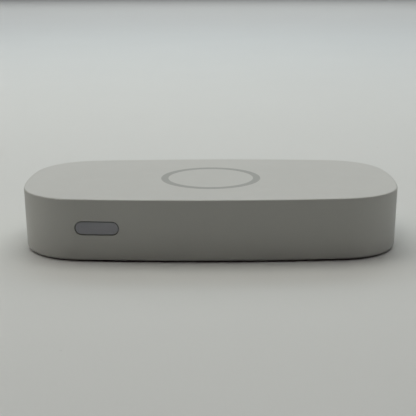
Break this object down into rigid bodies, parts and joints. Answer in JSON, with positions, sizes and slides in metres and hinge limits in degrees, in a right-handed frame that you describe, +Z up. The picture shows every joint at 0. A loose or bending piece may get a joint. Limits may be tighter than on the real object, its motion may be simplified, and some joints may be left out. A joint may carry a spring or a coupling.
{
  "type": "streaming media player",
  "caption": "Palm-sized flat media box with a pill-shaped status window in front, rear HDMI and USB-C sockets and a reset button, on a rubber foot.",
  "frame": {"origin": "centre of the underside of the rubber foot, on the surface that the player stands on", "axes": "+X to the right along the casing's length, seen from the front; the front window faces -Y and the sockets face +Y; +Z up out of the lid"},
  "size_m": [0.112, 0.058, 0.0182],
  "materials": {
    "casing_white": "fine satin moulded texture",
    "cover_grey": "fine matt moulded texture",
    "foot_rubber": "matt",
    "label_film": "satin film, blank",
    "window_frosted": "milky translucent, satin",
    "seal_foam": "open-cell foam",
    "guide_clear": "clear moulded acrylic",
    "lamp_lens": "diffusing resin on a white body",
    "screw_steel": "black zinc",
    "socket_steel": "bright nickel plated",
    "socket_black": "glass-filled nylon",
    "contact_gold": "gold flash",
    "button_grey": "fine matt",
    "plunger_white": "natural nylon",
    "switch_black": "moulded nylon",
    "spring_steel": "bright rolled",
    "board_green": "solder mask on glass-epoxy laminate",
    "chip_black": "moulded epoxy",
    "inductor_grey": "pressed iron powder",
    "can_aluminium": "bright drawn can",
    "crystal_steel": "satin nickel",
    "ceramic_tan": "sintered ceramic",
    "shield_tin": "tinned steel",
    "pad_grey": "soft filled silicone",
    "heatsink_black": "black anodised extrusion",
    "pin_nylon": "nylon",
    "module_steel": "satin pressed lid",
    "antenna_steel": "tinned spring steel"
  },
  "bodies": {
    "root": {"top_shell": "casing_white", "bottom_cover": "cover_grey", "foot_ring": "foot_rubber", "rating_label": "label_film", "front_window": "window_frosted", "light_seal": "seal_foam", "light_guide": "guide_clear", "status_lamps": "lamp_lens", "cover_screws": "screw_steel", "board_screws": "screw_steel", "hdmi_out_shell": "socket_steel", "hdmi_in_shell": "socket_steel", "usb_c_shell": "socket_steel", "hdmi_out_insulator": "socket_black", "hdmi_in_insulator": "socket_black", "usb_c_insulator": "socket_black", "hdmi_out_contacts": "contact_gold", "hdmi_in_contacts": "contact_gold", "usb_c_contacts": "contact_gold", "reset_switch_body": "switch_black", "reset_switch_dome": "spring_steel", "reset_switch_bracket": "spring_steel", "heatsink_springs": "spring_steel", "main_board": "board_green", "processor": "chip_black", "memory_chips": "chip_black", "storage_chip": "chip_black", "line_driver_chips": "chip_black", "power_regulators": "chip_black", "power_inductors": "inductor_grey", "can_capacitors": "can_aluminium", "crystals": "crystal_steel", "chip_capacitors": "ceramic_tan", "shield_frame": "shield_tin", "shield_lid": "shield_tin", "inner_thermal_pad": "pad_grey", "outer_thermal_pad": "pad_grey", "heatsink": "heatsink_black", "heatsink_pins": "pin_nylon", "wireless_module": "module_steel", "antennas": "antenna_steel"},
    "reset_button": {"reset_button_cap": "button_grey", "reset_switch_plunger": "plunger_white"}
  },
  "joints": [
    {"name": "reset_press", "type": "slide", "parent": "root", "child": "reset_button", "axis": [0, -1, 0], "range_m": [0, 0.0003], "stiffness_N_per_m": 4000}
  ]
}
